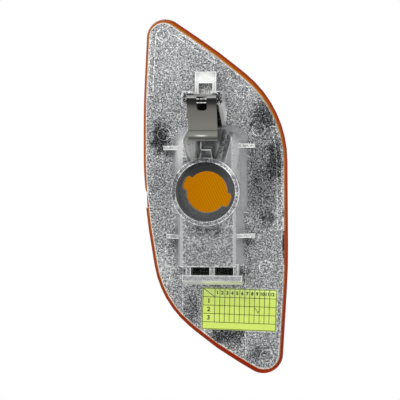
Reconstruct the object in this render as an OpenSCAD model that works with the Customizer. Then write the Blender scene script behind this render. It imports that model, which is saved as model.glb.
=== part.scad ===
// Side repeater lamp for a car body panel, upright as it is mounted.
// The lens faces -Y, the back with the bulb socket faces +Y, and the long axis is +Z.
// Every piece is drawn on a bench: x across, y along the lamp, z out of its back,
// with z = 0 at the back face of the base plate and x = y = 0 on the bulb axis.

/* [Lens] */
// Length of the lens over its two tips
lens_l = 132.4; // [112:0.1:160]
// Width of the lens over its widest line
lens_w = 54.1; // [50:0.1:66]
// Wall of the lens
lens_wall = 2.2; // [1.6:0.1:3]
// Distance of the widest line below the back face
rim_depth = 4.2; // [3.6:0.1:7]
// Depth of the shoulder between the widest line and the front
shoulder_depth = 3.2; // [2.4:0.1:6]
// Rise of the crowned front
crown = 4.8; // [2:0.1:9]
// Bow of the two slanting edges
edge_bow = 1.5; // [0.4:0.1:3]
// Flare of the rim along the left side
side_flare = 1.4; // [0.8:0.1:1.8]
// Flare of the rim along the upper slanting edge
slant_flare = 1.8; // [1:0.1:2.2]
// Width of the ledge that carries the base plate
ledge_w = 1.6; // [1:0.1:2.4]
// Length of the locating notch in the rim
notch_l = 6; // [3:0.1:10]

/* [Base plate] */
// Thickness of the base plate
plate_t = 2.4; // [1.8:0.1:3]
// Gap between the plate's edge and the lens
weld_gap = 0.12; // [0.05:0.01:0.3]
// Height of the skirt inside the lens
skirt_h = 2; // [1:0.1:3]
// Width of the skirt
skirt_w = 1.6; // [1:0.1:2.4]
// Radius of the moulded pads
pad_r = 2.5; // [1.5:0.1:4]
// Height of the moulded pads and edge lands
pad_h = 0.3; // [0.15:0.05:0.6]

/* [Bulb chamber] */
// Wall of the chamber and the hood
wall = 1.8; // [1.2:0.1:2.4]
// Height of the hood
hood_h = 12; // [10.5:0.1:13]
// Width of the hood at its foot
hood_w = 27.8; // [26.5:0.1:32]
// Reach of the hood above the bulb axis, at its foot
hood_top = 24.4; // [22:0.1:26]
// Lean of the hood's walls from foot to top
hood_lean = 4.7; // [3:0.1:5.6]
// Height of the plateau
plateau_h = 12.6; // [10.8:0.1:13.2]
// Width of the plateau
plateau_w = 19.8; // [15:0.1:21]
// Bevel along the two long edges of the plateau
plateau_bevel = 0.8; // [0.3:0.1:1.2]
// Reach of the plateau below the bulb axis
plateau_low = 27.2; // [24:0.1:29]
// Height of the valley floor between the shoulders
valley_floor = 4.5; // [3:0.1:6]
// Lean of the valley's walls from its floor to the top of the hood
valley_lean = 3.5; // [2:0.1:4.2]

/* [Bulb holder socket] */
// Bore of the collar
collar_r = 10.8; // [9.5:0.05:11.5]
// Wall of the collar
collar_wall = 1.55; // [1.2:0.05:2.2]
// Height of the collar
collar_h = 14.2; // [13.4:0.1:16]
// Depth of the collar down to the keyhole floor
collar_depth = 5.7; // [4:0.1:6.5]
// Thickness of the keyhole floor
floor_t = 2; // [1.4:0.1:2.6]
// Radius of the round part of the keyhole
key_r = 7.5; // [6:0.05:8]
// Radius that the two bayonet slots reach
key_slot_r = 9.1; // [8.4:0.05:9.4]
// Angle that each bayonet slot spans
key_slot_a = 38; // [26:1:44]

/* [Hook] */
// Height of the slot that takes the panel edge
hook_gap = 4.8; // [4.4:0.1:6]
// Reach of the hook from the plateau
hook_reach = 6.7; // [5:0.1:8]
// Width of the hook bar
hook_w = 21.6; // [16:0.1:26]
// Thickness of the hook bar
hook_bar = 3.6; // [2.4:0.1:4.4]
// Height of the hook
hook_h = 12; // [10:0.1:13]
// Thickness of each hook rib
hook_rib = 1.8; // [1.2:0.1:2.4]

/* [Clip post] */
// Height of the clip post
post_h = 16.8; // [14:0.1:20]
// Thickness of the post's two cheeks
cheek_t = 1.8; // [1.4:0.1:2.4]
// Thickness of the rib that carries each cheek
strut_t = 1.3; // [1:0.1:1.4]
// Width of the tongue that the clip grips
tongue_w = 3.4; // [2.4:0.1:4.2]
// Thickness of the tongue
tongue_t = 1.3; // [1:0.1:1.6]
// Height of the guide frame behind the post
guide_h = 5; // [3:0.1:7]
// Width of the guide frame
guide_w = 7.8; // [6:0.1:10]

/* [Spring clip] */
// Width of the clip
clip_w = 10.6; // [8:0.1:13]
// Thickness of the spring steel
clip_t = 0.6; // [0.4:0.05:0.8]
// Height of the clip's fold over the head of the post
clip_h = 18; // [15:0.1:22]
// Length of the sloping leaf
leaf_l = 11.8; // [10:0.1:13]
// Slope of the leaf from the base plate
leaf_a = 27; // [22:1:32]
// Length of the foot at the end of the leaf
foot_l = 2.9; // [2:0.1:4]

/* [Date label] */
// Width of the label
label_w = 27.6; // [20:0.1:28]
// Height of the label
label_h = 15.4; // [12:0.1:17]
// Thickness of the label
label_t = 0.15; // [0.1:0.01:0.3]
// Turn of the label from the line of the lamp
label_turn = -1.6; // [-4:0.1:4]

/* [Hidden] */
$fn = 96;
eps = 0.01;

// Clearance of a piece that is pushed into another
fit = 0.15;
// Middle of the lens as seen from the bulb axis
lens_mid = [2.05, -1.5];
half_w = lens_w / 2;
half_l = lens_l / 2;
left_x = lens_mid[0] - half_w;
right_x = lens_mid[0] + half_w;
top_y = lens_mid[1] + half_l;
low_y = lens_mid[1] - half_l;
bore_floor = collar_h - collar_depth;
chamber_top = bore_floor - floor_t;
collar_out = collar_r + collar_wall;

// Height, along the lamp, of the two shoulders and of the bends in the two sides
right_bend = half_l - 0.7 * lens_l;
right_shoulder = half_l - 0.254 * lens_l;
left_bend = half_l - 0.24 * lens_l;
left_waist = half_l - 0.509 * lens_l;
left_shoulder = -half_l + 0.199 * lens_l;

// Corners of the lens outline before rounding, counter-clockwise from the lower tip
tip_low = [half_w - 2.6, -half_l - 4.9];
tip_top = [-half_w + 1.9, half_l + 5.2];
corner_right = [half_w - 0.5, right_shoulder];
corner_left = [-half_w + 6.3, left_shoulder];

// Flare along the right side, the lower left side and the lower slanting edge
right_flare = 0.85 * side_flare;
waist_flare = 1.2 * side_flare;
low_flare = 1.25 * slant_flare;

function unit(v) = v / norm(v);
function left_of(v) = [-v[1], v[0]];
function bowed(a, b, bow) = (a + b) / 2 - bow * left_of(unit(b - a));

// Each corner is [place, reach of its round along each edge, flare of the edge that follows]
corners = [
    [tip_low, 12, right_flare],
    [[half_w, right_bend], 8, right_flare],
    [corner_right, 19.6, slant_flare],
    [bowed(corner_right, tip_top, edge_bow), 10, slant_flare],
    [tip_top, 12.3, side_flare],
    [[-half_w, left_bend], 8, side_flare],
    [[-half_w, left_waist], 12, waist_flare],
    [corner_left, 14, 0.85 * low_flare],
    [bowed(corner_left, tip_low, 1.55 * edge_bow), 10, low_flare]
];

function cyc(list, i) = list[(i + len(list)) % len(list)];
function edge_dir(i) = unit(cyc(corners, i + 1)[0] - cyc(corners, i)[0]);

// Moves the two edges that meet at corner i inwards by a and b and gives their crossing
function moved_corner(i, a, b) =
    let (n = left_of(edge_dir(i - 1)), m = left_of(edge_dir(i)), det = n[0] * m[1] - n[1] * m[0])
    cyc(corners, i)[0] + [a * m[1] - b * n[1], n[0] * b - m[0] * a] / det;

// Points of the round at corner i, with every edge moved inwards by d plus w flares
function corner_round(i, d, w) =
    let (
        a = d + w * cyc(corners, i - 1)[2],
        b = d + w * corners[i][2],
        into = edge_dir(i - 1),
        out = edge_dir(i),
        turn = acos(min(1, into * out)),
        r = max(0.8, corners[i][1] / tan(turn / 2) - (a + b) / 2),
        start = moved_corner(i, a, b) - r * tan(turn / 2) * into,
        mid = start + r * left_of(into),
        steps = max(2, ceil(turn / 7)),
        first = atan2(-left_of(into)[1], -left_of(into)[0])
    )
    [for (k = [0:steps]) mid + r * [cos(first + turn * k / steps), sin(first + turn * k / steps)]];

// Outline of the lens, moved inwards by d plus w times each edge's own flare
function outline(d, w = 0) =
    [for (i = [0:len(corners) - 1]) each [for (p = corner_round(i, d, w)) p + lens_mid]];

function at_height(pts, z) = [for (p = pts) [p[0], p[1], z]];

// Outline drawn in to the share s of its size, and rounded towards an ellipse on the way
function shrunk(pts, s) =
    [for (p = pts)
        let (v = p - lens_mid, k = 0.8 / norm([v[0] / half_w, v[1] / half_l]))
        lens_mid + s * (s + (1 - s) * k) * v];

// Closed skin through a list of rings, with a point at each end
module skin(rings, first, last) {
    n = len(rings[0]);
    rows = len(rings);
    pts = concat([first], [for (ring = rings) each ring], [last]);
    end = len(pts) - 1;
    polyhedron(pts, concat(
        [for (k = [0:n - 1]) [0, 1 + k, 1 + (k + 1) % n]],
        [for (j = [0:rows - 2], k = [0:n - 1])
            let (a = 1 + j * n + k, b = 1 + j * n + (k + 1) % n)
            each [[a, a + n, b], [b, a + n, b + n]]],
        [for (k = [0:n - 1]) [end, end - n + (k + 1) % n, end - n + k]]
    ));
}

// Points along an arc
function arc(mid, r, from, to, steps) =
    [for (k = [0:steps]) let (a = from + (to - from) * k / steps) mid + r * [cos(a), sin(a)]];

// Lays a bench piece in the mounted frame
module mounted() {
    rotate([90, 0, 180]) children();
}

// A shape drawn across (x, z) and drawn out along y from y0 to y1
module along_y(y0, y1) {
    translate([0, y1, 0]) rotate([90, 0, 0]) linear_extrude(y1 - y0) children();
}

// A shape drawn along (y, z) and drawn out across x from x0 to x1
module along_x(x0, x1) {
    translate([x0, 0, 0]) rotate([90, 0, 90]) linear_extrude(x1 - x0) children();
}

// Lens: dish with a crowned front, a flared rim and a ledge for the base plate

lip_drop = 0.7;
front_inset = 1.6;
front_z = -rim_depth - shoulder_depth;
crown_steps = 8;

function crown_rings(inset, z, from, step) =
    [for (k = [from:step:from == 1 ? crown_steps : 1])
        let (s = k / crown_steps)
        at_height(shrunk(outline(inset), s), z - crown * (1 - s * s))];

// Notch in the rim's left side: its place, how far it stands in, and its long run-out above
notch_y = [-0.2 - notch_l, -0.2];
notch_in = [1.65, 1.5, 1, 0.5];

module notch_shave() {
    translate([left_x, 0, -rim_depth - shoulder_depth - crown])
        linear_extrude(rim_depth + shoulder_depth + crown)
            polygon([
                [-1, notch_y[0]],
                [notch_in[0], notch_y[0]],
                [notch_in[1], notch_y[1]],
                [notch_in[2], notch_y[1] + 0.27 * notch_l],
                [notch_in[3], notch_y[1] + notch_l],
                [0, notch_y[1] + 2.4 * notch_l],
                [-1, notch_y[1] + 2.4 * notch_l]
            ]);
}

module lens_body() {
    outer = [
        at_height(outline(0.5), -rim_depth - shoulder_depth * 0.6),
        at_height(outline(0.1), -rim_depth - shoulder_depth * 0.25),
        at_height(outline(0), -rim_depth),
        at_height(outline(0, 0.25), -rim_depth * 0.5),
        at_height(outline(0, 0.6), -lip_drop)
    ];
    ledge = [
        at_height(outline(0, 1), -lip_drop),
        at_height(outline(0, 1), -plate_t),
        at_height(outline(ledge_w, 1), -plate_t),
        at_height(outline(lens_wall + 0.3), -rim_depth),
        at_height(outline(lens_wall + 0.9), front_z + lens_wall + 0.6)
    ];
    skin(
        concat(
            crown_rings(front_inset, front_z, 1, 1),
            outer,
            ledge,
            crown_rings(front_inset + lens_wall, front_z + lens_wall, crown_steps, -1)
        ),
        [lens_mid[0], lens_mid[1], front_z - crown],
        [lens_mid[0], lens_mid[1], front_z + lens_wall - crown]
    );
}

module lens() {
    color("orange")
        mounted()
            difference() {
                lens_body();
                translate([left_x - 1, notch_y[0], -plate_t])
                    cube([side_flare + weld_gap + 2, notch_l, plate_t]);
                notch_shave();
            }
}

// Housing: base plate with its chamber, socket, fins, clip post and hook

hood_x = [-hood_w / 2 + 0.4, hood_w / 2 + 0.4];
plateau_x = [-plateau_w / 2 + 0.75, plateau_w / 2 + 0.75];
plateau_foot = [plateau_x[0] - 3.3, plateau_x[1] + 2.2];

skirt_in = ledge_w + fit + 0.5;

module base_plate() {
    translate([0, 0, -plate_t])
        linear_extrude(plate_t) polygon(outline(weld_gap, 1));
    difference() {
        translate([0, 0, -plate_t - skirt_h])
            linear_extrude(skirt_h) polygon(outline(skirt_in, 1));
        translate([0, 0, -plate_t - skirt_h - 1])
            linear_extrude(skirt_h + 1) polygon(outline(skirt_in + skirt_w, 1));
    }
}

// Smooth raised lands along the two edges, and the round pads left by the mould
pads = [[left_x + 7.8, top_y - 6.8], [right_x - 16.6, top_y - 27.8], [left_x + 8.2, 21.3],
    [right_x - 10.8, 22.9], [right_x - 8.1, -27.8], [right_x - 7.7, low_y + 6.9]];

module edge_land(y0, y1, side) {
    intersection() {
        linear_extrude(pad_h)
            difference() {
                polygon(outline(weld_gap + 0.5, 1));
                polygon(outline(weld_gap + 2.5, 1));
            }
        translate([side < 0 ? left_x : lens_mid[0], lens_mid[1] + y0, 0])
            cube([half_w, y1 - y0, pad_h]);
    }
}

module surface_lands() {
    edge_land(left_bend + 2.5, half_l - 6.7, -1);
    edge_land(right_bend + 14, right_shoulder - 7, 1);
    for (p = pads)
        translate([p[0], p[1], -eps]) cylinder(r = pad_r, h = pad_h + eps);
}

// Weld vent cut into the plate's right edge
vent_y = lens_mid[1] + right_bend + 1;
vent_l = 12.5;
vent_depth = 0.7;

module vent() {
    translate([right_x - right_flare - weld_gap - vent_depth, vent_y, -plate_t / 2])
        cube([vent_depth + 1, vent_l, plate_t]);
}

// Sunk seat that brings the label flush with the plate, and the shallow band below the hook
label_in = [17.9, 24.1];
label_mid = [right_x - label_in[0], low_y + label_in[1]];
label_sink = 0.02;
seat_gap = 0.2;
seat_depth = label_t + label_sink;
band_x = [-9.7, 13.4];

module on_label() {
    translate([label_mid[0], label_mid[1], -seat_depth]) rotate([0, 0, label_turn]) children();
}

module sunk_seats() {
    on_label()
        translate([-label_w / 2 - seat_gap, -label_h / 2 - seat_gap, 0])
            cube([label_w + 2 * seat_gap, label_h + 2 * seat_gap, pad_h + 1]);
    translate([band_x[0], low_y, -seat_depth])
        cube([band_x[1] - band_x[0], -plateau_low - low_y, pad_h + 1]);
}

// Plan of the hood, moved inwards by d: two round shoulders, and a slanted step down to the plateau
shoulder_r = [7.4, 6.1];
hood_low = -8;
hood_step = [1.7, 2.6];
hood_bevel = 0.5;

function hood_plan(d) = concat(
    [[hood_x[0] + d, hood_low], [hood_x[1] - hood_step[0] - d, hood_low]],
    [[hood_x[1] - d, hood_low + hood_step[1]]],
    arc([hood_x[1] - shoulder_r[1], hood_top - shoulder_r[1]], shoulder_r[1] - d, 0, 90, 8),
    arc([hood_x[0] + shoulder_r[0], hood_top - shoulder_r[0]], shoulder_r[0] - d, 90, 180, 8)
);

// Height at which the hood's walls bend in, and how far they have come in there
hood_bend = [6.5, 1.6];

// How far the hood's walls have come in at height z
function hood_in(z) = z < hood_bend[0]
    ? hood_bend[1] * z / hood_bend[0]
    : hood_bend[1] + (hood_lean - hood_bend[1]) * (z - hood_bend[0]) / (hood_h - hood_bend[0]);

module hood_body() {
    skin(
        [
            at_height(hood_plan(hood_in(-plate_t / 2)), -plate_t / 2),
            at_height(hood_plan(hood_bend[1]), hood_bend[0]),
            at_height(hood_plan(hood_in(hood_h - hood_bevel)), hood_h - hood_bevel),
            at_height(hood_plan(hood_in(hood_h) + hood_bevel / 2), hood_h)
        ],
        [0, 0, -plate_t / 2],
        [0, 0, hood_h]
    );
}

// Valley between the shoulders: its two walls lean out, and close in towards the collar
valley_w = 5.1;
valley_low = 10.2;
valley_x = [-valley_w / 2 - 0.35, valley_w / 2 - 0.35];
valley_turn = [13.5, 15.4];
valley_run = [valley_lean, 1.25 * valley_lean] / (hood_h - valley_floor);

// Everything on the open side of one valley wall
module beside_wall(k) {
    translate([valley_x[k], valley_low, valley_floor])
        mirror([k, 0, 0]) rotate([0, 0, valley_turn[k]]) along_y(-20, 30)
            polygon([[0, 0], [hood_w, 0], [hood_w, hood_h], [-valley_run[k] * hood_h, hood_h]]);
}

module valley() {
    intersection() {
        beside_wall(0);
        beside_wall(1);
        translate([-hood_w, valley_low, valley_floor]) cube([2 * hood_w, hood_top, hood_h]);
    }
}

// Step between the valley and the collar, and the plain stop bar above it
module valley_step() {
    translate([0, 0, valley_floor - 1])
        linear_extrude(4.2) polygon([[-3, 11], [-2.1, 15.4], [1.4, 15.4], [2.2, 11]]);
    translate([-2.4, 15.9, valley_floor - 1]) cube([4, 0.7, 1.7]);
}

module hood() {
    difference() {
        hood_body();
        valley();
    }
}

// Sides of the plateau at height z, moved inwards by d
function plateau_side(z, d) = [for (k = [0, 1])
    plateau_foot[k] + (plateau_x[k] - plateau_foot[k]) * z / plateau_h + (k == 0 ? d : -d)];

module plateau_prism(z0, z1, y0, y1, d) {
    low = plateau_side(z0, d);
    high = plateau_side(z1, d);
    along_y(y0, y1) polygon([[low[0], z0], [low[1], z0], [high[1], z1], [high[0], z1]]);
}

module plateau() {
    edge = plateau_side(plateau_h - plateau_bevel, 0);
    along_y(-plateau_low, 0)
        polygon([[plateau_foot[0], 0], [plateau_foot[1], 0],
            [edge[1], plateau_h - plateau_bevel], [plateau_x[1] - plateau_bevel, plateau_h],
            [plateau_x[0] + plateau_bevel, plateau_h], [edge[0], plateau_h - plateau_bevel]]);
}

// Hollow inside each shoulder of the hood, one wall away from its outside and from the valley
pocket_top = 5.5;
pocket_y = [12.4, 18.4];
pocket_out = hood_in(pocket_top) + wall;

function valley_side(k, y) =
    valley_x[k] + (2 * k - 1) * (wall + valley_run[k] * (pocket_top - valley_floor)
        + (y - valley_low) * tan(valley_turn[k]));

pockets = [
    [[hood_x[0] + pocket_out, pocket_y[0]], [valley_side(0, pocket_y[0]), pocket_y[0]],
        [valley_side(0, pocket_y[1]), pocket_y[1]], [hood_x[0] + pocket_out, pocket_y[1]]],
    [[valley_side(1, pocket_y[0]), pocket_y[0]], [hood_x[1] - pocket_out, pocket_y[0]],
        [hood_x[1] - pocket_out, pocket_y[1]], [valley_side(1, pocket_y[1]), pocket_y[1]]]
];

// Hollow inside the hood and the plateau, open to the front
module chamber() {
    low = -plateau_low + wall;
    plateau_prism(-plate_t - 1, chamber_top, low, collar_out - wall, wall * 1.1);
    plateau_prism(0, plateau_h - wall, low, -collar_out - 0.5, wall * 1.1);
    for (pocket = pockets)
        translate([0, 0, -plate_t - 1])
            linear_extrude(plate_t + 1 + pocket_top) polygon(pocket);
}

// Round on the two outer corners of a bayonet slot
lobe_round = 1.3;

// One bayonet slot of the keyhole, in the direction a
function lobe(a) =
    let (
        r = key_slot_r - lobe_round,
        half = key_slot_a / 2 - asin(lobe_round / r),
        low = r * [cos(a - half), sin(a - half)],
        high = r * [cos(a + half), sin(a + half)]
    )
    concat(
        [[0, 0]],
        arc(low, lobe_round, a - half - 90, a - half, 4),
        arc([0, 0], key_slot_r, a - half, a + half, 8),
        arc(high, lobe_round, a + half, a + half + 90, 4)
    );

// Round hole in the collar floor with two bayonet slots
module keyhole() {
    translate([0, 0, chamber_top - 1]) {
        cylinder(r = key_r, h = floor_t + 2);
        for (a = [155, -22])
            linear_extrude(floor_t + 2) polygon(lobe(a));
    }
}

module collar() {
    cylinder(r = collar_out, h = collar_h);
}

module socket() {
    translate([0, 0, bore_floor]) cylinder(r = collar_r, h = collar_depth + 1);
    keyhole();
}

// Locating fins at the sides of the chamber, each [side, y, reach, height at the wall]
fin_t = 1.5;
fin_h = 6.4;
fin_tip = 4.8;
fin_toe = 2.1;
fins = [[0, 16, 2.9, 9.2], [1, 16.8, 3, 9.2], [0, -16.4, 2.9, 11.4], [1, -16, 4.5, 11.4]];

// Outside of the hood, or below it of the plateau, at height z on the side of fin f
function fin_wall(f, z) = f[1] > 0 ? hood_x[f[0]] + (1 - 2 * f[0]) * hood_in(z) : plateau_side(z, 0)[f[0]];

module fin(f) {
    way = 2 * f[0] - 1;
    out = fin_wall(f, 0) + way * f[2];
    in = fin_wall(f, f[3]) - way * 0.5;
    along_y(f[1] - fin_t / 2, f[1] + fin_t / 2)
        polygon([[out, 0], [in, 0], [in, f[3]], [out - way * fin_toe, fin_h], [out, fin_tip]]);
}

// Hook that takes the panel edge: a bar held off the plate by three ribs
hook_x = 2.2;
hook_y = -plateau_low - hook_reach;
hook_slant = 1.6;

module hook() {
    along_x(hook_x - hook_w / 2, hook_x + hook_w / 2)
        polygon([
            [hook_y + hook_bar, hook_gap],
            [hook_y + hook_bar, hook_h],
            [hook_y + hook_slant, hook_h],
            [hook_y, hook_h - 4],
            [hook_y, hook_gap]
        ]);
    for (k = [-1:1])
        translate([hook_x + k * (hook_w / 2 - 2.15) - hook_rib / 2, hook_y + hook_bar - eps, hook_gap])
            cube([hook_rib, hook_reach - hook_bar + 1, hook_h - hook_gap - 0.4]);
}

// Clip post: two cheeks, each with a return and a sloping strut, and the tongue between them
clip_x = -1;
clip_y = 34.9;
cheek_in = clip_w / 2 + fit;
cheek_y = [clip_y - 3.4, clip_y + 1.2];
return_w = 3.9;
return_t = 0.7;
strut_foot = clip_y - 11.6;
tongue_gap = 1.4;

module cheek() {
    translate([cheek_in, cheek_y[0], 0])
        cube([cheek_t, cheek_y[1] - cheek_y[0], post_h]);
    translate([cheek_in + cheek_t - return_w, cheek_y[1] - return_t, 0])
        cube([return_w, return_t, post_h]);
}

// Sloping rib from x out, up to height h at the cheek
module strut(x, h) {
    along_x(x, x + strut_t)
        polygon([[strut_foot, 0], [cheek_y[0] + strut_t, 0], [cheek_y[0] + strut_t, h], [cheek_y[0], h]]);
}

module clip_post() {
    translate([clip_x, 0, 0]) {
        for (side = [0, 1])
            mirror([side, 0, 0]) cheek();
        strut(cheek_in + cheek_t - strut_t, post_h);
        strut(-cheek_in - strut_t + 0.8, post_h - strut_t);
    }
    translate([clip_x - tongue_w / 2, clip_y - clip_t - fit - tongue_t, 0])
        cube([tongue_w, tongue_t, clip_h - clip_t - tongue_gap]);
}

// Guide frame behind the post: a ramp with two ribs that run up to the returns
guide_rib = 1.35;
guide_x = clip_x + 0.15;
guide_y = 39.7;
ramp_l = 4.3;

module guide() {
    along_x(guide_x - guide_w / 2, guide_x + guide_w / 2)
        polygon([[guide_y, 0], [guide_y + ramp_l, 0],
            [guide_y + ramp_l, guide_h - 1.2], [guide_y, guide_h]]);
    for (x = [guide_x - guide_w / 2, guide_x + guide_w / 2 - guide_rib])
        translate([x, cheek_y[1] - return_t / 2, 0])
            cube([guide_rib, guide_y - clip_y, guide_h]);
}

module housing() {
    color("silver")
        mounted()
            difference() {
                union() {
                    base_plate();
                    surface_lands();
                    hood();
                    valley_step();
                    plateau();
                    collar();
                    for (f = fins) fin(f);
                    hook();
                    clip_post();
                    guide();
                }
                chamber();
                socket();
                vent();
                sunk_seats();
            }
}

// Spring clip: one strip, up the post, over its head and down the sloping leaf

bend_r = 0.8;

// One side of a strip: the points of its middle path, moved sideways by off
function side_points(path, off) =
    [for (i = [0:len(path) - 1])
        let (
            into = unit(path[max(i, 1)] - path[max(i, 1) - 1]),
            out = unit(path[min(i + 1, len(path) - 1)] - path[min(i, len(path) - 2)]),
            mid = unit(into + out)
        )
        path[i] + off / (mid * out) * left_of(mid)];

// Middle line of the strip: leg, fold over the head, leaf, and the foot that turns back
leg_y = clip_y - clip_t / 2;
fold_z = clip_h - clip_t / 2;
fold_l = 1.2;
leaf_start = [leg_y - bend_r - fold_l, fold_z];
leaf_end = leaf_start - leaf_l * [cos(leaf_a), sin(leaf_a)];
clip_path = concat(
    [[leg_y, 0]],
    arc([leg_y - bend_r, fold_z - bend_r], bend_r, 0, 90, 5),
    arc(leaf_start - [0, 1.6], 1.6, 90, 90 + leaf_a, 4),
    [leaf_end],
    [leaf_end + foot_l * [-cos(8), sin(8)]],
    [leaf_end + foot_l * [-cos(8), sin(8)] + [-0.6, 0.6]]
);

module clip_strip() {
    along_x(clip_x - clip_w / 2, clip_x + clip_w / 2)
        polygon(concat(side_points(clip_path, clip_t / 2),
            [for (k = [len(clip_path) - 1:-1:0]) side_points(clip_path, -clip_t / 2)[k]]));
}

// Places what follows on the leaf, with y running down the leaf from its start
module on_leaf() {
    translate([clip_x, leaf_start[0], leaf_start[1]])
        rotate([leaf_a, 0, 0]) mirror([0, 1, 0]) children();
}

hole_w = tongue_w + 0.3;
hole_l = 2.8;
hole_at = 0.8;
hole_r = 1.2;
slot_l = 0.6;
tooth_gap = [1.2, 0.6];
tooth_pitch = 1.9;

// Hole with a straight upper edge and two round lower corners
module tongue_hole() {
    on_leaf()
        translate([0, hole_at, -2])
            linear_extrude(4)
                polygon(concat(
                    [[hole_w / 2, 0]],
                    arc([hole_w / 2 - hole_r, hole_l - hole_r], hole_r, 0, 90, 5),
                    arc([hole_r - hole_w / 2, hole_l - hole_r], hole_r, 90, 180, 5),
                    [[-hole_w / 2, 0]]
                ));
}

// Slot over the tongue, and the two gaps that leave three teeth to bite it
module barb() {
    translate([clip_x - hole_w / 2, leaf_start[0] + fold_l - 0.25, fold_z - 2])
        cube([hole_w, slot_l, 4]);
    for (side = [-1, 1])
        translate([clip_x + (side * tooth_pitch - tooth_gap[0]) / 2, leaf_start[0] - 0.15, fold_z - 2])
            cube([tooth_gap[0], tooth_gap[1], 4]);
}

module spring_clip() {
    color("gray")
        mounted()
            difference() {
                clip_strip();
                tongue_hole();
                barb();
            }
}

// Date label: a thin sheet stuck in its seat, a little askew

module date_label() {
    color("yellowgreen")
        mounted()
            on_label()
                translate([-label_w / 2, -label_h / 2, 0])
                    cube([label_w, label_h, label_t]);
}

lens();
housing();
spring_clip();
date_label();
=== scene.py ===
import math
import bmesh
import bpy
from mathutils import Matrix, Vector


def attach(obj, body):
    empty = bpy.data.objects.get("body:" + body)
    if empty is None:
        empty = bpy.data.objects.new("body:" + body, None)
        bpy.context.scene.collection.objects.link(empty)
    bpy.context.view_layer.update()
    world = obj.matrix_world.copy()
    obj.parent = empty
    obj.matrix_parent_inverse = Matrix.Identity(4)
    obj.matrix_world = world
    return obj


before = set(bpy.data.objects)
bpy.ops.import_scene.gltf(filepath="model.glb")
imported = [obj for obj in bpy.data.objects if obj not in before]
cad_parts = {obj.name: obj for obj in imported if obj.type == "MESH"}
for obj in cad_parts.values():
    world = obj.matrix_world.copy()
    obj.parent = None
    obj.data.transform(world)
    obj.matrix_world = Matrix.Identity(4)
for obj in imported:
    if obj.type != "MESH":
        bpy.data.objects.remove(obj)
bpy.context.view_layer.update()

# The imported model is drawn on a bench: x across, y along the lamp, z out of its back.
# bench() turns bench millimetres into the frame's metres, and BENCH does it as a matrix.
MM = 0.001
BENCH = Matrix(((-MM, 0, 0, 0), (0, 0, MM, 0), (0, MM, 0, 0), (0, 0, 0, 1)))

# Rays that feel how open a point is, for the arrises and for the weld
OPEN_RAYS = 12


def bench(x, y, z):
    return BENCH @ Vector((x, y, z))


def linear(code):
    """Linear colour of an sRGB hex value, with full alpha."""
    parts = [int(code[k:k + 2], 16) / 255 for k in (1, 3, 5)]
    return tuple(c / 12.92 if c <= 0.04045 else ((c + 0.055) / 1.055) ** 2.4
                 for c in parts) + (1.0,)


def feed(tree, node, inputs):
    """Fills a node's sockets. inputs maps a socket's name or number to a value, to another
    node's output, or to a node for its first output."""
    for key, value in inputs.items():
        if isinstance(value, bpy.types.Node):
            value = value.outputs[0]
        if isinstance(value, bpy.types.NodeSocket):
            tree.links.new(value, node.inputs[key])
        else:
            node.inputs[key].default_value = value


def add(tree, kind, inputs=None, stops=None, **settings):
    """Adds a node with its settings, with inputs as feed() takes them, and with the stops of
    its colour ramp as (place, sRGB hex) pairs."""
    made = tree.nodes.new(kind)
    for name, value in settings.items():
        setattr(made, name, value)
    feed(tree, made, inputs or {})
    if stops:
        while len(made.color_ramp.elements) < len(stops):
            made.color_ramp.elements.new(0.5)
        for element, (place, code) in zip(made.color_ramp.elements, stops):
            element.position = place
            element.color = linear(code)
    return made


def new_material(name):
    """A material, its tree, its shader, and its place on the part in bench millimetres:
    X across, Y height over the base plate, Z along the lamp."""
    made = bpy.data.materials.new(name)
    made.use_nodes = True
    tree = made.node_tree
    place = add(tree, "ShaderNodeTexCoord")
    spot = add(tree, "ShaderNodeMapping",
               {0: place.outputs["Object"], 3: (-1 / MM, 1 / MM, 1 / MM)})
    return made, tree, tree.nodes["Principled BSDF"], place, spot


# Metallised ABS: aluminium vapour over a spark-eroded mould grain. The eye gets coarse
# black and white sparkle on every face that looks out of the back, and smooth grey on the
# drafted walls. Painted light and shade lie over these: patches of painted shade and
# reflection, painted shade dark in the hollows, a painted highlight white along the
# arrises, and painted light near white on the faces that look out of the front. Tones run
# from 0, nearly black, to 1, nearly white.
COAT_TONES = [(0.0, "#141414"), (0.25, "#434445"), (0.5, "#808183"), (0.75, "#BFC0C1"),
              (1.0, "#F8F8F6")]
PLATE_TONE = 0.54
WALL_TONE = 0.71

# Sizes of the mould's grain and of its pits in mm, how far each swings the tone, and the
# depth of the relief in mm
GRAIN = 0.5
GRAIN_GAIN = 1.7
PIT = 0.42
PIT_GAIN = 0.36
GRAIN_DEPTH = 0.1
# Share of the swing on the walls and on the plateau. A wall's grain is drawn out down it.
WALL_GRAIN = 0.14
PLATEAU_GRAIN = 0.66
WALL_DRAW = 0.3
# Heights in mm where the plate's grain ends and where the plateau's begins
PLATE_TOP = (0.6, 0.9)
PLATEAU_FOOT = (10.2, 10.6)
# How squarely a face looks out of the back when it takes the grain, and out of the front
# when it is painted near white as painted light on the inner sides
OUT_OF_BACK = (0.96, 0.985)
OUT_OF_FRONT = (-0.6, -0.5)
# Roughness of the walls and of the grain, and how metallic the smooth walls look
WALL_ROUGH = 0.24
GRAIN_ROUGH = 0.45
WALL_METAL = 0.3
# Width in mm of the painted highlight along an arris, the openness between which it goes
# out, and its strength on the walls and on the plate
ARRIS = 0.45
ARRIS_OPEN = (0.55, 0.95)
WALL_GLINT = 0.75
PLATE_GLINT = 0.82
# Wander of the edges of the plate's painted light and shade: waves per mm, and reach in mm
WANDER = 0.35
WANDER_REACH = 7
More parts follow.
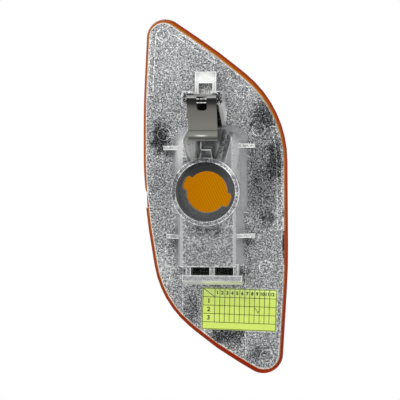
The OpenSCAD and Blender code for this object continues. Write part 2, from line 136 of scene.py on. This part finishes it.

# Painted light and shade in the tone, as patches, in mm: place across, height, place
# along, the three reaches, turn in degrees, shade, and the share of the reach over which the
# patch is full. A patch at height 0 wanders at its edges. They paint shadows, shade in the
# hollows, reflections and highlights.
PAINTED_LIGHT_AND_SHADE = [
    # base plate: painted reflections and shade, and a painted shadow beside the clip
    (21.4, 0, 28.2, 7.5, 3, 10.5, 35, -0.3, 0.3),
    (24.6, 0, 12.5, 4.6, 3, 14, 8, -0.25, 0.3),
    (20, 0, 6, 10, 3, 22, 0, -0.16, 0.3),
    (18.4, 0, 4.6, 2.5, 3, 6, 0, -0.1, 0.3),
    (21.6, 0, -9.5, 3, 3, 4.5, 0, -0.2, 0.3),
    (-18.3, 0, 19.8, 4.6, 3, 8.5, 0, -0.42, 0.3),
    (-18, 0, 3, 4, 3, 9, 0, -0.08, 0.3),
    (-12.7, 0, -19.8, 3.2, 3, 3.5, 0, -0.18, 0.3),
    (13.3, 0, -18.8, 3.8, 3, 2.8, 0, -0.15, 0.3),
    (-14.6, 0, 13.9, 2.6, 3, 2, 0, -0.2, 0.3),
    (-6.2, 0, -43.9, 4.5, 3, 9, 0, -0.19, 0.3),
    (6.8, 0, -52.6, 9, 3, 5.5, -20, -0.32, 0.4),
    (18, 0, -60, 7, 3, 4, -30, -0.2, 0.3),
    (-14.5, 0, 50.5, 13, 3, 17, 0, 0.05, 0.3),
    (-15.7, 0, -29.1, 3.6, 3, 10, -10, 0.12, 0.3),
    (-1.3, 0, 37, 3.4, 2, 3, 0, 0.24, 0.3),
    (3.4, 0, 26.5, 2.2, 4, 6, 0, -0.5, 0.3),
    # painted shade, shadows and highlights on the plateau, collar, right edge, guide frame, clip
    # post and hook
    (0.5, 12.6, -14.1, 9, 2, 3.2, 0, -0.13, 0.3),
    (0.5, 12.6, -22, 12, 2, 6, 0, -0.02, 0.3),
    (0, 14.2, -10.6, 8, 1, 3, 0, -0.08, 0.3),
    (-0.5, 14.2, 11.6, 7, 1.6, 2.2, 0, -0.2, 0.7),
    (-11.4, 14.2, 1.5, 1.8, 1.6, 7, 12, -0.16, 0.6),
    (9, 14.2, 8.4, 2.6, 1.6, 3.4, 45, 0.16, 0.5),
    (0, 12.8, -13.4, 7, 1.2, 1.3, 0, -0.05, 0.5),
    (-12, 6, -20, 2, 6, 14, 0, -0.2, 0.5),
    (27.6, -0.5, -19.5, 0.8, 4, 6, 0, -0.4, 0.7),
    (27.6, -0.5, -8, 0.8, 4, 1.6, 0, -0.4, 0.7),
    (-1, 5, 40.5, 5.5, 1.8, 7, 0, 0.24, 0.5),
    (5.6, 8, 28.5, 1.4, 12, 5.5, 0, 0.6, 0.7),
    (-6.5, 8, 27.5, 1.6, 12, 7.5, 0, 0.5, 0.6),
    (-6.3, 16.8, 33.5, 2.2, 2, 2.6, 0, -0.35, 0.5),
    (5.6, 16.8, 33.5, 2.2, 2, 2.6, 0, -0.35, 0.5),
    (-2, 9, 31.5, 4, 13, 4.2, 0, -0.55, 0.7),
    (2, 0, -29.6, 13, 6, 3.6, 0, -0.48, 0.5),
    (2, 8.5, -33.5, 14, 6, 1.5, 0, 0.45, 0.7),
    (-7, 8.5, -33.3, 9, 6, 1.5, 0, 0.3, 0.7),
    (2, 12.4, -31.2, 14, 2, 1.4, 0, 0.06, 0.7),
    (4.6, 6, 21, 2.2, 5, 5, 0, -0.3, 0.5),
    # painted shade and highlights on the hood, its valley and the fins
    (-0.5, 4.2, 17, 4.8, 1.8, 14, 0, -0.46, 0.6),
    (-6, 8, 16, 2.6, 5, 6.6, -13.5, 0.5, 0.6),
    (7.6, 9.6, 17, 1.7, 3.6, 8, 15, -0.27, 0.5),
    (11.4, 11, 21.5, 3.6, 5, 6, -15, -0.2, 0.2),
    (-10.5, 10, 15, 3.5, 6, 9, 0, 0.12, 0.5),
    (-0.3, 7, 13.6, 3, 3, 3, 0, -0.38, 0.5),
    (-3.4, 8.5, 18.5, 2.2, 5, 6, -27, -0.35, 0.6),
    (13.4, 5, 3, 2.4, 7, 13, 0, 0.06, 0.5),
    (-14.5, 6, 16.2, 3, 3, 1.2, 0, 0.02, 0.5),
    (15.3, 6, 16.6, 3, 3, 1.2, 0, 0.08, 0.5),
    (-13.5, 8, -16.4, 3, 5, 1.2, 0, 0.05, 0.5),
    (14.5, 8, -16, 3.6, 5, 1.2, 0, 0.08, 0.5),
    # painted shade on the step under the stop bar, and painted highlight on the bar's left and
    # lower arris
    (0, 5, 11.8, 3.6, 6, 2.6, 0, -0.1, 0.7),
    (-2.6, 5, 17, 0.3, 2.5, 1.9, 0, 0.6, 0.7),
    (-0.35, 7.7, 15.35, 2.2, 1, 0.3, 0, 0.7, 0.8),
    # painted shade in the bore of the collar
    (0, 8, 0, 10.95, 60, 10.95, 0, -0.43, 0.97),
    (-1.5, 9.5, 8.4, 11, 5, 7, 20, -0.24, 0.4),
]

# Places with more or less grain than their storey, given as the painted patches are: the
# valley's walls, the clip post's returns and the fins have more, and the hood's right shoulder
# and the hook have less
GRAIN_SHARES = [
    (-5.8, 9, 16.5, 1.9, 6, 7, -15, 1.5, 0.5),
    (6, 9, 17.5, 1.8, 6, 8, 15, 0.9, 0.5),
    (8.8, 12.6, 13, 3.6, 2, 8, 0, -0.56, 0.6),
    (2, 12, -31.6, 14, 3, 2, 0, -0.3, 0.7),
    (-6.3, 16.8, 33.5, 2.6, 3, 3.4, 0, 0.9, 0.6),
    (5.6, 16.8, 33.5, 2.6, 3, 3.4, 0, 0.9, 0.6),
    (-14.5, 6, 16.2, 4, 5, 1.8, 0, 0.8, 0.6),
    (15.3, 6, 16.6, 4, 5, 1.8, 0, 0.8, 0.6),
    (-13.5, 7, -16.4, 4, 5, 1.8, 0, 0.5, 0.6),
    (14.5, 7, -16, 4.6, 5, 1.8, 0, 0.5, 0.6),
]


def patch(tree, place, x, height, along, across_r, height_r, along_r, turn, amount, full):
    """Amount inside an oval patch, fading to nothing at its edge."""
    near = add(tree, "ShaderNodeMapping",
               {0: place, 1: (x, height, along), 2: (0, math.radians(turn), 0),
                3: (across_r, height_r, along_r)}, vector_type="TEXTURE")
    away = add(tree, "ShaderNodeVectorMath", {0: near}, operation="LENGTH")
    return add(tree, "ShaderNodeMapRange",
               {0: away.outputs["Value"], 1: full, 2: 1.0, 3: amount, 4: 0.0},
               interpolation_type="SMOOTHSTEP")


def metallised_abs():
    made, tree, shader, place, spot = new_material("metallised_abs_eroded_grain")
    at = add(tree, "ShaderNodeSeparateXYZ", {0: spot})
    facing = add(tree, "ShaderNodeSeparateXYZ", {0: place.outputs["Normal"]})

    # Grain only on the faces that look out of the back, on the plate or up at the plateau
    outward = add(tree, "ShaderNodeMapRange",
                  {0: facing.outputs["Y"], 1: OUT_OF_BACK[0], 2: OUT_OF_BACK[1]})
    low = add(tree, "ShaderNodeMapRange",
              {0: at.outputs["Y"], 1: PLATE_TOP[0], 2: PLATE_TOP[1], 3: 1.0, 4: 0.0})
    high = add(tree, "ShaderNodeMapRange",
               {0: at.outputs["Y"], 1: PLATEAU_FOOT[0], 2: PLATEAU_FOOT[1]})
    storey = add(tree, "ShaderNodeMath", {0: low, 1: high}, operation="MAXIMUM")
    grained = add(tree, "ShaderNodeMath", {0: outward, 1: storey}, operation="MULTIPLY")

    # Tone of the metallised layer, with its painted patches of light and shade
    wander = add(tree, "ShaderNodeTexNoise", {"Vector": spot, "Scale": WANDER, "Detail": 2.0})
    shift = add(tree, "ShaderNodeVectorMath", {0: wander.outputs[1], 1: (0.5, 0.5, 0.5)},
                operation="SUBTRACT")
    wandering = add(tree, "ShaderNodeVectorMath",
                    {0: shift, 1: (WANDER_REACH, 0, WANDER_REACH), 2: spot},
                    operation="MULTIPLY_ADD")
    # Walls take the wall tone, and faces that look out of the front are painted near white as
    # painted light
    smooth = add(tree, "ShaderNodeMapRange",
                 {0: facing.outputs["Y"], 1: OUT_OF_FRONT[0], 2: OUT_OF_FRONT[1],
                  3: 1.0, 4: WALL_TONE})
    tone = add(tree, "ShaderNodeMapRange", {0: grained, 3: smooth, 4: PLATE_TONE})
    # Each patch adds painted light or painted shade to the tone
    for painted_patch in PAINTED_LIGHT_AND_SHADE:
        shade = patch(tree, spot if painted_patch[1] else wandering, *painted_patch)
        tone = add(tree, "ShaderNodeMath", {0: tone, 1: shade}, operation="ADD")

    # The mould's grain, with its pits, swings the tone up and down
    drawn = add(tree, "ShaderNodeMapping", {0: spot, 3: (1, WALL_DRAW, 1)})
    grain = add(tree, "ShaderNodeTexNoise",
                {"Vector": drawn, "Scale": 1 / GRAIN, "Detail": 2.0, "Roughness": 0.7})
    pit = add(tree, "ShaderNodeTexVoronoi", {"Vector": drawn, "Scale": 1 / PIT})
    pits = add(tree, "ShaderNodeSeparateColor", {0: pit.outputs["Color"]})
    coarse = add(tree, "ShaderNodeMath",
                 {0: grain, 1: GRAIN_GAIN, 2: -0.5 * (GRAIN_GAIN + PIT_GAIN)},
                 operation="MULTIPLY_ADD")
    swing = add(tree, "ShaderNodeMath", {0: pits, 1: PIT_GAIN, 2: coarse},
                operation="MULTIPLY_ADD")
    on_top = add(tree, "ShaderNodeMapRange", {0: low, 3: PLATEAU_GRAIN, 4: 1.0})
    gain = add(tree, "ShaderNodeMapRange", {0: grained, 3: WALL_GRAIN, 4: on_top})
    for share in GRAIN_SHARES:
        gain = add(tree, "ShaderNodeMath", {0: gain, 1: patch(tree, spot, *share)},
                   operation="ADD")
    level = add(tree, "ShaderNodeMath", {0: swing, 1: gain, 2: tone}, operation="MULTIPLY_ADD")

    # Painted highlight along the arrises, weaker on the walls where the painted tone is darker
    arris = add(tree, "ShaderNodeAmbientOcclusion", {"Distance": ARRIS * MM},
                samples=OPEN_RAYS, inside=True)
    glint = add(tree, "ShaderNodeMapRange", {0: low, 3: WALL_GLINT, 4: PLATE_GLINT})
    painted_arris_highlight = add(tree, "ShaderNodeMapRange",
              {0: arris.outputs["AO"], 1: ARRIS_OPEN[0], 2: ARRIS_OPEN[1], 3: glint, 4: 0.0})
    highlight_scale = add(tree, "ShaderNodeMapRange", {0: low, 3: tone, 4: PLATE_TONE})
    final = add(tree, "ShaderNodeMath", {0: highlight_scale, 1: painted_arris_highlight, 2: level}, operation="MULTIPLY_ADD")
    colour = add(tree, "ShaderNodeValToRGB", {0: final}, COAT_TONES)

    bump = add(tree, "ShaderNodeBump",
               {"Strength": 0.4, "Distance": GRAIN_DEPTH * MM, "Height": grain})
    rough = add(tree, "ShaderNodeMapRange", {0: grained, 3: WALL_ROUGH, 4: GRAIN_ROUGH})
    inner = add(tree, "ShaderNodeMapRange",
                {0: facing.outputs["Y"], 1: OUT_OF_FRONT[0], 2: OUT_OF_FRONT[1],
                 3: 1.0, 4: grained})
    metal = add(tree, "ShaderNodeMapRange", {0: inner, 3: WALL_METAL, 4: 1.0})
    feed(tree, shader, {"Base Color": colour, "Normal": bump, "Roughness": rough,
                        "Metallic": metal})
    return made


# Spring steel: rolled, tempered strip. The eye gets a warm dark grey with fine lines
# down the strip. Painted shade and reflection lie over it, nearly black at the fold and
# lighter where the leaf flattens out, with painted highlights at the top of the fold and
# the lip of the foot, and a painted white highlight along the bend of its foot. The lines'
# width is in mm.
ROLL_LINE = 0.3
ROLL_STRETCH = 0.05
ROLL_SWING = 0.02
# Places along the lamp in mm of the two ends of the strip's tones
STRIP_ENDS = (18.5, 35.5)
# The strip's own grey, with painted shade nearly black at the fold and painted highlights at the
# fold's top and the foot's lip
STRIP_TONES_AND_PAINTED_SHADE = [
    (0.0, "#B0B0AE"), (0.028, "#8C8C8A"), (0.05, "#4E4E4D"), (0.08, "#5A5A58"),
    (0.105, "#7E7D7A"), (0.18, "#70716A"), (0.212, "#64645F"), (0.24, "#8A8B84"),
    (0.32, "#898883"), (0.5, "#807F7A"), (0.67, "#757470"), (0.735, "#5C5B59"),
    (0.776, "#3E3C3B"), (0.818, "#2B2B2B"), (0.862, "#222224"), (0.885, "#454545"),
    (0.9, "#A4A4A2"), (0.92, "#868685"), (0.955, "#8A8A89"), (1.0, "#989897")]
# The foot's painted highlight is given as the painted patches of light and shade are
FOOT_PAINTED_HIGHLIGHT = (-1.7, 10, 20.3, 3.4, 8, 0.5, 0, 0.75, 0.3)
PAINTED_HIGHLIGHT_TONE = "#D8D8D6"


def spring_steel():
    made, tree, shader, place, spot = new_material("rolled_spring_steel")
    at = add(tree, "ShaderNodeSeparateXYZ", {0: spot})
    drawn = add(tree, "ShaderNodeMapping",
                {0: spot, 3: (1 / ROLL_LINE, ROLL_STRETCH / ROLL_LINE, ROLL_STRETCH / ROLL_LINE)})
    lines = add(tree, "ShaderNodeTexNoise", {"Vector": drawn, "Scale": 1.0, "Detail": 3.0})
    along = add(tree, "ShaderNodeMapRange",
                {0: at.outputs["Z"], 1: STRIP_ENDS[0], 2: STRIP_ENDS[1]})
    swing = add(tree, "ShaderNodeMath", {0: lines, 1: 0.5}, operation="SUBTRACT")
    level = add(tree, "ShaderNodeMath", {0: swing, 1: ROLL_SWING, 2: along},
                operation="MULTIPLY_ADD")
    colour = add(tree, "ShaderNodeValToRGB", {0: level}, STRIP_TONES_AND_PAINTED_SHADE)
    # Painted highlight along the bend of the foot
    foot_highlight = patch(tree, spot, *FOOT_PAINTED_HIGHLIGHT)
    foot_with_highlight = add(tree, "ShaderNodeMix", {0: foot_highlight, 6: colour, 7: linear(PAINTED_HIGHLIGHT_TONE)},
                   data_type="RGBA")
    feed(tree, shader, {"Base Color": foot_with_highlight.outputs[2], "Metallic": 1.0, "Roughness": 0.34})
    return made


# Acrylic: injection-moulded amber PMMA. The eye gets a deep clear orange through the
# keyhole, with the fine flutes of its front showing (0.6 mm apart on the real one, drawn a
# little coarser to show), and at the rim a body of colour that turns from orange by the
# plate to dark red at its widest line, with a painted pale highlight along the seam by the plate.
FLUTE = 0.9
FLUTE_TURN = 25
FLUTE_SWING = 0.2
# The body of colour lies between these heights in mm, and the flutes end between these
# shares of the way up it
BODY = (-12.0, 0.0)
BODY_TONES = [(0.0, "#CC9000"), (0.3, "#B86C00"), (0.64, "#901400"), (0.78, "#A02600"),
              (0.88, "#AA3E00"), (0.95, "#B86414")]
FLUTES_END = (0.2, 0.3)
# Heights in mm between which the clear front turns into the dense side, and how clear each is
SHOULDER = (-7.5, -5.0)
FRONT_CLEAR = 0.95
SIDE_CLEAR = 0.1
# The side is darker towards the lower end, from the first of these places to the second
LOW_END = (10.0, -55.0)
LOW_END_TONE = "#942404"
# Reach in mm of the painted pale highlight along the seam by the plate, and the openness between
# which it fades out
SEAM_HIGHLIGHT_REACH = 0.8
SEAM_HIGHLIGHT_OPEN = (0.6, 0.82)
SEAM_HIGHLIGHT_TONE = "#F4D0A4"
# Gloss of the front, which fades out as a face turns away from it
GLOSS = 0.7
GLOSS_TURN = (-0.5, -0.2)


def amber_acrylic():
    made, tree, shader, place, spot = new_material("amber_pmma_moulded")
    at = add(tree, "ShaderNodeSeparateXYZ", {0: spot})
    facing = add(tree, "ShaderNodeSeparateXYZ", {0: place.outputs["Normal"]})

    depth = add(tree, "ShaderNodeMapRange", {0: at.outputs["Y"], 1: BODY[0], 2: BODY[1]})
    across = add(tree, "ShaderNodeMapping", {0: spot, 2: (0, math.radians(FLUTE_TURN), 0)})
    flutes = add(tree, "ShaderNodeTexWave", {"Vector": across, "Scale": 0.1 * math.pi / FLUTE})
    relief = add(tree, "ShaderNodeMapRange",
                 {0: depth, 1: FLUTES_END[0], 2: FLUTES_END[1], 3: FLUTE_SWING, 4: 0.0})
    fluted = add(tree, "ShaderNodeMath", {0: flutes, 1: relief, 2: depth},
                 operation="MULTIPLY_ADD")
    colour = add(tree, "ShaderNodeValToRGB", {0: fluted}, BODY_TONES)

    clear = add(tree, "ShaderNodeMapRange",
                {0: at.outputs["Y"], 1: SHOULDER[0], 2: SHOULDER[1], 3: FRONT_CLEAR,
                 4: SIDE_CLEAR})
    low_end = add(tree, "ShaderNodeMapRange",
                  {0: at.outputs["Z"], 1: LOW_END[0], 2: LOW_END[1]})
    deep = add(tree, "ShaderNodeMapRange",
               {0: clear, 1: SIDE_CLEAR, 2: FRONT_CLEAR, 3: low_end, 4: 0.0})
    shaded = add(tree, "ShaderNodeMix", {0: deep, 6: colour, 7: linear(LOW_END_TONE)},
                 data_type="RGBA")

    # Painted highlight: the lens turns pale where it lies close by the plate's edge
    seam_openness = add(tree, "ShaderNodeAmbientOcclusion", {"Distance": SEAM_HIGHLIGHT_REACH * MM}, samples=OPEN_RAYS)
    seam_highlight = add(tree, "ShaderNodeMapRange",
                 {0: seam_openness.outputs["AO"], 1: SEAM_HIGHLIGHT_OPEN[0], 2: SEAM_HIGHLIGHT_OPEN[1], 3: 1.0, 4: 0.0})
    seam_highlighted = add(tree, "ShaderNodeMix",
                {0: seam_highlight, 6: shaded.outputs[2], 7: linear(SEAM_HIGHLIGHT_TONE)}, data_type="RGBA")
    polished = add(tree, "ShaderNodeMapRange",
                   {0: facing.outputs["Y"], 1: GLOSS_TURN[0], 2: GLOSS_TURN[1], 3: GLOSS,
                    4: 0.0})
    feed(tree, shader, {"Base Color": seam_highlighted.outputs[2], "Transmission Weight": clear,
                        "Coat Weight": polished, "Roughness": 0.1, "IOR": 1.25,
                        "Specular IOR Level": 0.0, "Specular Tint": linear("#FF9030")})
    return made


# Sheared steel: the raw edge that the press leaves. The eye gets a thin white line, a
# little broken, over a torn grain of this size in mm. The white is partly the bright raw
# edge and partly a painted highlight.
TEAR = 0.4


def sheared_and_glinting_steel():
    made, tree, shader, place, spot = new_material("sheared_spring_steel_and_glint")
    torn = add(tree, "ShaderNodeTexNoise", {"Vector": spot, "Scale": 1 / TEAR, "Detail": 2.0})
    colour = add(tree, "ShaderNodeValToRGB", {0: torn}, [(0.35, "#B4B4B2"), (0.6, "#F0F0EE")])
    feed(tree, shader, {"Base Color": colour, "Metallic": 1.0, "Roughness": 0.4})
    return made


# Label film: printed vinyl. The eye gets a bright satin lime with a faint mottle, with
# painted light along its top edge that offsets the hook's shade. Both are given in mm.
FILM_MOTTLE = 3
FILM_TOP = (-40.5, -36.5)
FILM_TOP_TONE = "#E8FF90"


def lime_film():
    made, tree, shader, place, spot = new_material("lime_vinyl_printed")
    at = add(tree, "ShaderNodeSeparateXYZ", {0: spot})
    tone = add(tree, "ShaderNodeTexNoise",
               {"Vector": spot, "Scale": 1 / FILM_MOTTLE, "Detail": 2.0})
    colour = add(tree, "ShaderNodeValToRGB", {0: tone}, [(0.3, "#D2EA66"), (0.7, "#DAF070")])
    # Painted light along the top edge, against the hook's shade
    top = add(tree, "ShaderNodeMapRange", {0: at.outputs["Z"], 1: FILM_TOP[0], 2: FILM_TOP[1]})
    top_painted_light = add(tree, "ShaderNodeMix", {0: top, 6: colour, 7: linear(FILM_TOP_TONE)},
                data_type="RGBA")
    feed(tree, shader, {"Base Color": top_painted_light.outputs[2], "Roughness": 0.45})
    return made


# Printing ink: screen-printed vinyl ink. The eye gets a thin dark olive line, a little
# broken, at this size in mm, where the screen laid less down.
INK_BREAK = 0.6


def olive_ink():
    made, tree, shader, place, spot = new_material("olive_screen_ink")
    laid = add(tree, "ShaderNodeTexNoise",
               {"Vector": spot, "Scale": 1 / INK_BREAK, "Detail": 2.0})
    colour = add(tree, "ShaderNodeValToRGB", {0: laid}, [(0.35, "#1C2606"), (0.65, "#343F0E")])
    feed(tree, shader, {"Base Color": colour, "Roughness": 0.6})
    return made


# Edges that bend more than this many degrees stay sharp, and points this near in mm are one
SHARP_OVER = 32
ONE_POINT = 0.001


def smoothing(limit):
    """Node group that shades a piece smooth, but keeps its edges over the limit sharp."""
    tree = bpy.data.node_groups.new("smooth_below_limit", "GeometryNodeTree")
    for way in ("INPUT", "OUTPUT"):
        tree.interface.new_socket("Geometry", in_out=way, socket_type="NodeSocketGeometry")
    source = add(tree, "NodeGroupInput")
    joined = add(tree, "GeometryNodeMergeByDistance", {0: source, "Distance": ONE_POINT * MM})
    soft = add(tree, "GeometryNodeSetShadeSmooth", {0: joined, "Shade Smooth": True})
    bend = add(tree, "GeometryNodeInputMeshEdgeAngle")
    steep = add(tree, "FunctionNodeCompare", {0: bend.outputs[0], 1: math.radians(limit)},
                data_type="FLOAT", operation="GREATER_THAN")
    crisp = add(tree, "GeometryNodeSetShadeSmooth",
                {0: soft, "Selection": steep, "Shade Smooth": False}, domain="EDGE")
    add(tree, "NodeGroupOutput", {0: crisp})
    return tree


SMOOTHING = smoothing(SHARP_OVER)


def dress(name, material):
    """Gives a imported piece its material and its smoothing."""
    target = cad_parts[name]
    target.data.materials.clear()
    target.data.materials.append(material)
    target.modifiers.new("smooth", "NODES").node_group = SMOOTHING


dress("housing", metallised_abs())
dress("spring_clip", spring_steel())
dress("lens", amber_acrylic())
dress("date_label", lime_film())


def bar(mesh, place, size):
    """Adds a box of this size to the mesh."""
    corners = bmesh.ops.create_cube(mesh, size=1.0)["verts"]
    bmesh.ops.transform(mesh, verts=corners, matrix=place @ Matrix.Diagonal((*size, 1)))


def trim_piece(name, mesh, material):
    """A thin piece of trim from a finished mesh."""
    bmesh.ops.recalc_face_normals(mesh, faces=mesh.faces)
    data = bpy.data.meshes.new(name)
    mesh.to_mesh(data)
    mesh.free()
    data.materials.append(material)
    made = bpy.data.objects.new(name, data)
    bpy.context.scene.collection.objects.link(made)
    return made


# Teeth of the clip, in mm: place along, height, and the middles of the short lines across
TOOTH_LINES = [(33.3, 17.95, (-2.35, -1, 0.35)), (31.95, 17.92, (-2.2, -1, 0.2))]
TOOTH_W = 1.05
TOOTH_T = 0.28


def tooth_lines():
    """The bright sheared edges of the teeth that bite the tongue, over the hole in the clip,
    their white partly a painted highlight.
    """
    mesh = bmesh.new()
    for y, z, middles in TOOTH_LINES:
        for x in middles:
            bar(mesh, BENCH @ Matrix.Translation((x, y, z)), (TOOTH_W, TOOTH_T, TOOTH_T))
    made = trim_piece("tooth_lines", mesh, sheared_and_glinting_steel())
    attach(made, "root")


# Print on the label, in mm: a ruled table with a plain number over each column and beside
# each row. The ink stands proud of the film by a share of its own thickness.
LABEL_MID = (11.2, -43.6)
LABEL_TURN = math.radians(-1.6)
LABEL_W = 27.6
LABEL_H = 15.4
LABEL_TOP = -0.02
MARGIN = 0.25
TOP_MARGIN = 0.2
INK_T = 0.015
INK_PROUD = 0.2
LINE_W = 0.22
FIRST_COLUMN = 4.4
COLUMN = 1.84
HEAD_ROW = 3.15
ROW = 3.1
COLUMNS = 12
ROWS = 3
HEAD_SIZE = 1.7
SIDE_SIZE = 2.3
NUMBER_BOLD = 0.09
# The tick: its start in columns and rows of the table, its points from there, and its width
TICK_START = (8.2, 1.2)
TICK = [(0, 0), (1, -1.6), (1.5, -0.4)]
TICK_W = 0.2


def ruled_line(mesh, x0, y0, x1, y1, width):
    """A thin bar of ink from one point of the label to another."""
    way = Vector((x1 - x0, y1 - y0, 0))
    middle = Matrix.Translation(((x0 + x1) / 2, (y0 + y1) / 2, 0))
    spin = Matrix.Rotation(math.atan2(way.y, way.x), 4, "Z")
    bar(mesh, middle @ spin, (way.length + width, width, INK_T))


def written_number(mesh, words, x, y, size):
    """A plain number as flat ink, centred on a point of the label."""
    letters = bpy.data.curves.new("number", "FONT")
    letters.body = words
    letters.size = size
    letters.extrude = INK_T / 2
    letters.offset = NUMBER_BOLD
    letters.resolution_u = 3
    letters.align_x = "CENTER"
    letters.align_y = "CENTER"
    holder = bpy.data.objects.new("number", letters)
    outlines = bpy.data.meshes.new_from_object(holder)
    outlines.transform(Matrix.Translation((x, y, 0)))
    mesh.from_mesh(outlines)
    bpy.data.meshes.remove(outlines)
    bpy.data.objects.remove(holder)
    bpy.data.curves.remove(letters)


def label_print():
    """The table, its numbers and the tick, drawn flat and then laid on the label."""
    mesh = bmesh.new()
    left = -LABEL_W / 2 + MARGIN
    right = LABEL_W / 2 - MARGIN
    top = LABEL_H / 2 - TOP_MARGIN
    bottom = -LABEL_H / 2 + MARGIN
    head = top - HEAD_ROW
    foot = head - ROWS * ROW
    table = left + FIRST_COLUMN
    for y in [top, bottom] + [head - k * ROW for k in range(ROWS + 1)]:
        ruled_line(mesh, left, y, right, y, LINE_W)
    ruled_line(mesh, left, bottom, left, top, LINE_W)
    ruled_line(mesh, right, bottom, right, top, LINE_W)
    for k in range(COLUMNS):
        x = table + k * COLUMN
        ruled_line(mesh, x, foot, x, top, LINE_W)
        written_number(mesh, str(k + 1), x + COLUMN / 2, top - HEAD_ROW / 2, HEAD_SIZE)
    for k in range(ROWS):
        written_number(mesh, str(k + 1), left + FIRST_COLUMN / 2, head - (k + 0.5) * ROW,
                       SIDE_SIZE)
    ruled_line(mesh, left, top, table, head, LINE_W)
    tick_x = table + TICK_START[0] * COLUMN
    tick_y = head - TICK_START[1] * ROW
    tick = [(tick_x + x, tick_y + y) for x, y in TICK]
    for start, end in zip(tick, tick[1:]):
        ruled_line(mesh, *start, *end, TICK_W)
    middle = Matrix.Translation((*LABEL_MID, LABEL_TOP + INK_PROUD * INK_T))
    mesh.transform(BENCH @ middle @ Matrix.Rotation(LABEL_TURN, 4, "Z"))
    made = trim_piece("label_print", mesh, olive_ink())
    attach(made, "root")


tooth_lines()
label_print()

# Camera: square to the back of the lamp, a little to its right and above. AIM is the point
# of the base plate in the middle of the picture, and nothing nearer than NEAREST is drawn.
DISTANCE = 550 * MM
NEAREST = 10 * MM
TURN = math.radians(6.0)
LIFT = math.radians(1.0)
FRAME_W = 148 * MM
SENSOR = 36.0
AIM = bench(-3.38, -3.14, 0)
sight = Vector((-math.sin(TURN) * math.cos(LIFT), math.cos(TURN) * math.cos(LIFT),
                math.sin(LIFT)))
camera_data = bpy.data.cameras.new("camera")
camera_data.sensor_width = SENSOR
camera_data.lens = SENSOR * DISTANCE / FRAME_W
camera_data.clip_start = NEAREST
camera = bpy.data.objects.new("camera", camera_data)
bpy.context.scene.collection.objects.link(camera)
camera.location = AIM + DISTANCE * sight
camera.rotation_euler = (-sight).to_track_quat("-Z", "Y").to_euler()
bpy.context.scene.camera = camera

# Light: a white studio that the camera, metal and clear plastic see at full strength, and
# that lights the rest more softly, with soft lamps on the object
STUDIO_LIGHT = 0.55
world = bpy.data.worlds.new("studio")
bpy.context.scene.world = world
world.use_nodes = True
sky = world.node_tree
rays = add(sky, "ShaderNodeLightPath")
mirrored = add(sky, "ShaderNodeMath",
               {0: rays.outputs["Is Camera Ray"], 1: rays.outputs["Is Glossy Ray"]},
               operation="MAXIMUM")
shown = add(sky, "ShaderNodeMath", {0: mirrored, 1: rays.outputs["Is Transmission Ray"]},
            operation="MAXIMUM")
strength = add(sky, "ShaderNodeMapRange", {0: shown, 3: STUDIO_LIGHT, 4: 1.0})
feed(sky, sky.nodes["Background"], {"Color": (1, 1, 1, 1), "Strength": strength})


def soft_lamp(name, place, size, power):
    """A square lamp that looks at the middle of the object."""
    data = bpy.data.lights.new(name, "AREA")
    data.size = size
    data.energy = power
    made = bpy.data.objects.new(name, data)
    made.location = place
    made.rotation_euler = (-Vector(place)).to_track_quat("-Z", "Y").to_euler()
    bpy.context.scene.collection.objects.link(made)


soft_lamp("key_lamp", place=(0.5, 0.8, 0.6), size=0.5, power=3.8)
soft_lamp("fill_lamp", place=(-0.7, 0.7, 0.1), size=0.6, power=2.0)
soft_lamp("front_lamp", place=(0.3, -0.9, 0.5), size=0.6, power=4.0)

# Floor: matt pale grey paint well below the lamp. The eye gets a plain ground, a little
# mottled, that thins out to the white of the studio. The disc is in metres, its mottle in mm.
FLOOR_R = 1.2
FLOOR_FULL = 0.45
FLOOR_Z = -0.25
FLOOR_SIDES = 96
PAINT_MOTTLE = 40


def matt_paint():
    made, tree, shader, place, spot = new_material("matt_pale_paint")
    tone = add(tree, "ShaderNodeTexNoise",
               {"Vector": spot, "Scale": 1 / PAINT_MOTTLE, "Detail": 3.0})
    colour = add(tree, "ShaderNodeValToRGB", {0: tone}, [(0.3, "#EAEAE8"), (0.7, "#EDEDEB")])
    away = add(tree, "ShaderNodeVectorMath", {0: place.outputs["Object"]}, operation="LENGTH")
    laid = add(tree, "ShaderNodeMapRange",
               {0: away.outputs["Value"], 1: FLOOR_FULL, 2: FLOOR_R, 3: 1.0, 4: 0.0},
               interpolation_type="SMOOTHSTEP")
    feed(tree, shader, {"Base Color": colour, "Alpha": laid, "Roughness": 0.8})
    return made


disc = bmesh.new()
bmesh.ops.create_circle(disc, cap_ends=True, segments=FLOOR_SIDES, radius=FLOOR_R)
floor_mesh = bpy.data.meshes.new("floor")
disc.to_mesh(floor_mesh)
disc.free()
floor_mesh.materials.append(matt_paint())
floor = bpy.data.objects.new("floor", floor_mesh)
floor.location.z = FLOOR_Z
bpy.context.scene.collection.objects.link(floor)

bpy.context.scene.view_settings.view_transform = "Standard"
